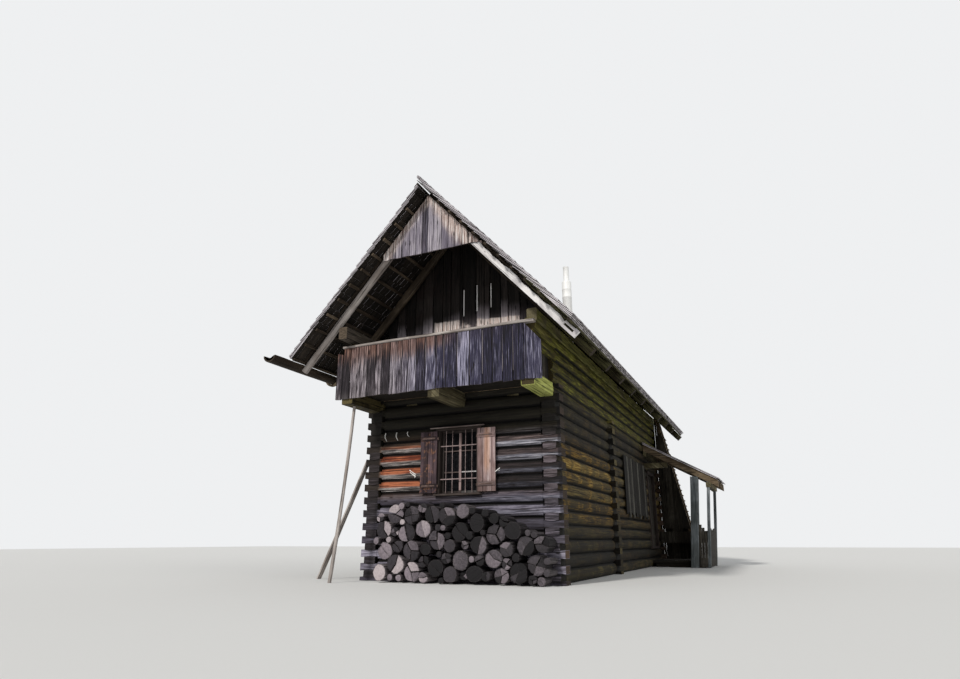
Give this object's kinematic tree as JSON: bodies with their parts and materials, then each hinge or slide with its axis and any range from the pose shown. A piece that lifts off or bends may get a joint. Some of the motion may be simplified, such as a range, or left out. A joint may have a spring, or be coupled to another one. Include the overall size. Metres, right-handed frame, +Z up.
{
  "type": "two-storey log cabin with balcony and porch",
  "caption": "Old alpine log cabin with notched log corners, steep shingle roof, boarded balcony under the front gable, small shuttered window, wooden gutter and side porch.",
  "frame": {"origin": "middle of the underside of the front wall's foot log, on the ground", "axes": "+X to the right along the front as seen from the front, +Y from the front gable to the rear, +Z up"},
  "size_m": [6.5343, 11.936, 6.7602],
  "materials": {
    "log_wood": "weathered hewn logs",
    "shingles": "weathered split shingles",
    "grey_boards": "weathered sawn boards",
    "frame_wood": "hewn, weathered",
    "floor_wood": "worn planks",
    "joinery": "weathered joinery",
    "shutter_wood": "weathered planed boards",
    "iron": "forged, rusted",
    "pipe_metal": "matt pale coating",
    "window_glass": "old clear glass",
    "firewood": "split, weathered"
  },
  "bodies": {
    "cabin": {"balcony_deck": "grey_boards", "balcony_sides": "grey_boards", "battens_left": "frame_wood", "battens_right": "frame_wood", "ceiling_beams": "frame_wood", "chimney_pipe": "pipe_metal", "cross_wall": "log_wood", "door_frame": "joinery", "door_leaf": "joinery", "firewood": "firewood", "floor_joists": "frame_wood", "front_wall": "log_wood", "gable_triangle": "grey_boards", "ground_floor": "floor_wood", "gutter": "frame_wood", "gutter_hooks": "frame_wood", "handrail": "frame_wood", "hung_boards": "grey_boards", "leaning_poles": "frame_wood", "left_wall": "log_wood", "loft_floor": "floor_wood", "loft_front": "grey_boards", "parapet": "grey_boards", "porch_beams": "frame_wood", "porch_deck": "grey_boards", "porch_parapet": "grey_boards", "porch_posts": "frame_wood", "porch_rafters": "frame_wood", "porch_roof": "shingles", "rafters_left": "frame_wood", "rafters_right": "frame_wood", "rear_gable": "grey_boards", "rear_wall": "log_wood", "right_wall": "log_wood", "roof_left": "shingles", "roof_right": "shingles", "screen_boards": "grey_boards", "screen_frame": "frame_wood", "shutter_pins": "iron", "verge_rafter_left": "frame_wood", "verge_rafter_right": "frame_wood", "wall_plates": "frame_wood", "window_casing": "joinery", "window_drip_board": "grey_boards", "window_glass": "window_glass", "window_sash": "joinery", "window_sill": "joinery"},
    "shutter_left": {"shutter_left": "shutter_wood"},
    "shutter_right": {"shutter_right": "shutter_wood"}
  },
  "joints": [
    {"name": "shutter_left_hinge", "type": "hinge", "parent": "cabin", "child": "shutter_left", "pos_m": [-0.342, -0.168, 1.955], "axis": [0, 0, 1], "range_deg": [0, 178]},
    {"name": "shutter_right_hinge", "type": "hinge", "parent": "cabin", "child": "shutter_right", "pos_m": [0.402, -0.168, 1.955], "axis": [0, 0, 1], "range_deg": [-178, 0]}
  ]
}
